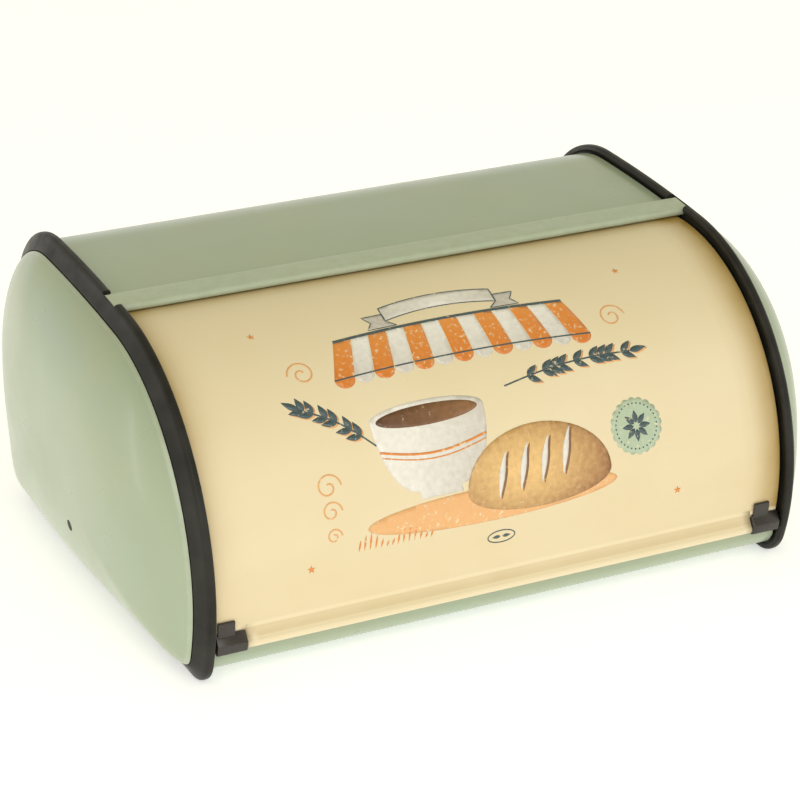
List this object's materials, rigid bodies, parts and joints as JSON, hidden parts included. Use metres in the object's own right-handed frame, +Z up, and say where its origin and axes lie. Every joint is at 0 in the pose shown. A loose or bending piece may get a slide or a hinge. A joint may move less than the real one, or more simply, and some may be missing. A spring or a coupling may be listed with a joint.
{
  "type": "roll-top bread box",
  "caption": "Steel bread box whose curved front lid rolls up and back under the fixed top, with domed ends and dark plastic trim rings.",
  "frame": {"origin": "centre of the footprint, on the surface that the box stands on", "axes": "+X along the width to the right seen from the front, the lid faces -Y, +Z up"},
  "size_m": [0.4132, 0.2849, 0.18],
  "materials": {
    "mint_paint": "satin gloss paint",
    "cream_enamel": "glossy printed lacquer",
    "dark_trim": "satin",
    "black_plastic": "satin moulded",
    "zinc_steel": "zinc plated",
    "white_nylon": "plain"
  },
  "bodies": {
    "case": {"body_shell": "mint_paint", "left_side_cover": "mint_paint", "left_trim_ring": "dark_trim", "left_pivot_pin": "zinc_steel", "left_pivot_bush": "white_nylon", "left_pivot_washer": "white_nylon", "left_pivot_retainer": "zinc_steel", "right_side_cover": "mint_paint", "right_trim_ring": "dark_trim", "right_pivot_pin": "zinc_steel", "right_pivot_bush": "white_nylon", "right_pivot_washer": "white_nylon", "right_pivot_retainer": "zinc_steel"},
    "lid": {"lid_panel": "cream_enamel", "left_lid_cap": "black_plastic", "left_lid_arm": "zinc_steel", "left_arm_rivet_upper": "zinc_steel", "left_arm_rivet_lower": "zinc_steel", "right_lid_cap": "black_plastic", "right_lid_arm": "zinc_steel", "right_arm_rivet_upper": "zinc_steel", "right_arm_rivet_lower": "zinc_steel"}
  },
  "joints": [
    {"name": "lid_roll", "type": "hinge", "parent": "case", "child": "lid", "pos_m": [0, -0.0215, 0.0525], "axis": [-1, 0, 0], "range_deg": [0, 95]}
  ]
}
